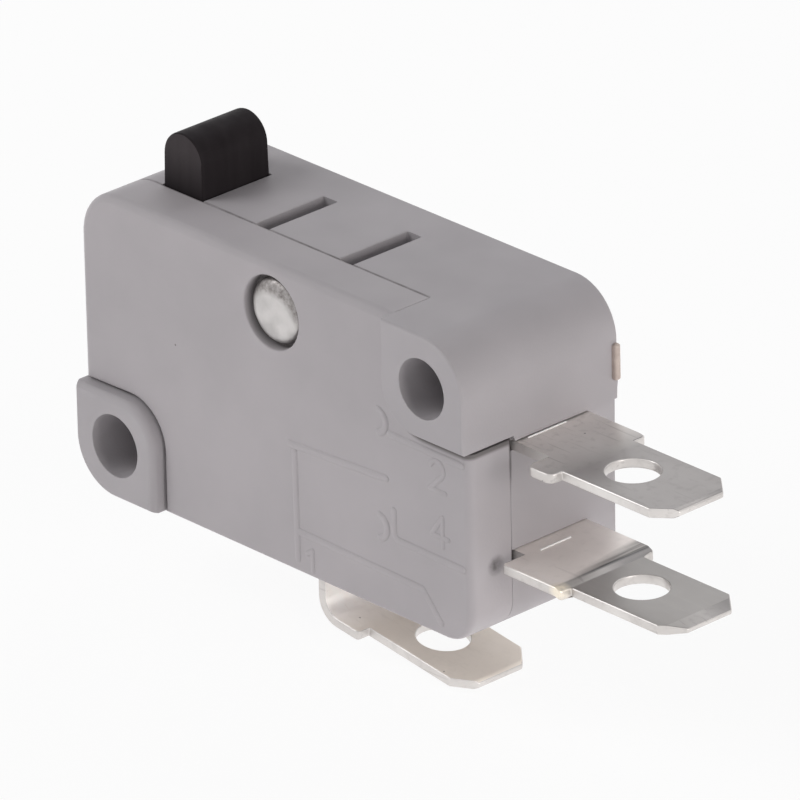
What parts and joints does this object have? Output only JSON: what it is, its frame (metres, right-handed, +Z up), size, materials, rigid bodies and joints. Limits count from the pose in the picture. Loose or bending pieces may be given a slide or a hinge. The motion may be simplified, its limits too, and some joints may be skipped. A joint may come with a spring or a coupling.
{
  "type": "plunger snap-action switch",
  "caption": "Small grey plunger switch with a snap-action changeover contact, blade terminals and a pair of through holes for fixing.",
  "frame": {"origin": "on the axis of the lower mounting hole, halfway through the case", "axes": "+X along the case towards the two end terminals, +Z up towards the plunger, -Y out of the cover's face"},
  "size_m": [0.0392, 0.0104, 0.0232],
  "materials": {
    "case_plastic": "moulded grey thermoplastic, satin",
    "cover_plastic": "moulded grey thermoplastic, satin",
    "rivet_metal": "bright, worked by the setting tool",
    "plunger_plastic": "moulded black thermoplastic, satin",
    "lever_plastic": "moulded natural thermoplastic",
    "spring_steel": "drawn wire",
    "blade_metal": "rolled copper alloy",
    "contact_metal": "silver alloy",
    "plated_terminal": "tin plated, bright on the cut edges"
  },
  "bodies": {
    "case": {"housing": "case_plastic", "cover": "cover_plastic", "cover_rivet": "rivet_metal", "com_terminal": "plated_terminal", "nc_terminal": "plated_terminal", "nc_contact": "contact_metal", "no_terminal": "plated_terminal", "no_contact": "contact_metal"},
    "button": {"plunger": "plunger_plastic"},
    "lever": {"inner_lever": "lever_plastic"},
    "blade": {"contact_blade": "blade_metal", "moving_contact": "contact_metal", "snap_spring": "spring_steel"}
  },
  "joints": [
    {"name": "plunger_slide", "type": "slide", "parent": "case", "child": "button", "axis": [0, 0, -1], "range_m": [0, 0.0024], "stiffness_N_per_m": 700, "springref_m": -0.0015, "deforming": ["snap_spring"]},
    {"name": "lever_pivot", "type": "hinge", "parent": "case", "child": "lever", "pos_m": [0.0092, 0, 0.0009], "axis": [0, -1, 0], "range_deg": [0, 16.95], "deforming": ["snap_spring"]},
    {"name": "blade_pivot", "type": "hinge", "parent": "case", "child": "blade", "pos_m": [0.0075, 0.00075, 0.00455], "axis": [0, 1, 0], "range_deg": [0, 4.49], "deforming": ["snap_spring"]}
  ],
  "couplings": [
    {"joint": "lever_pivot", "follows": "plunger_slide", "rad_per_m": 123},
    {"joint": "blade_pivot", "follows": "plunger_slide", "rad_per_m": 32.6}
  ]
}
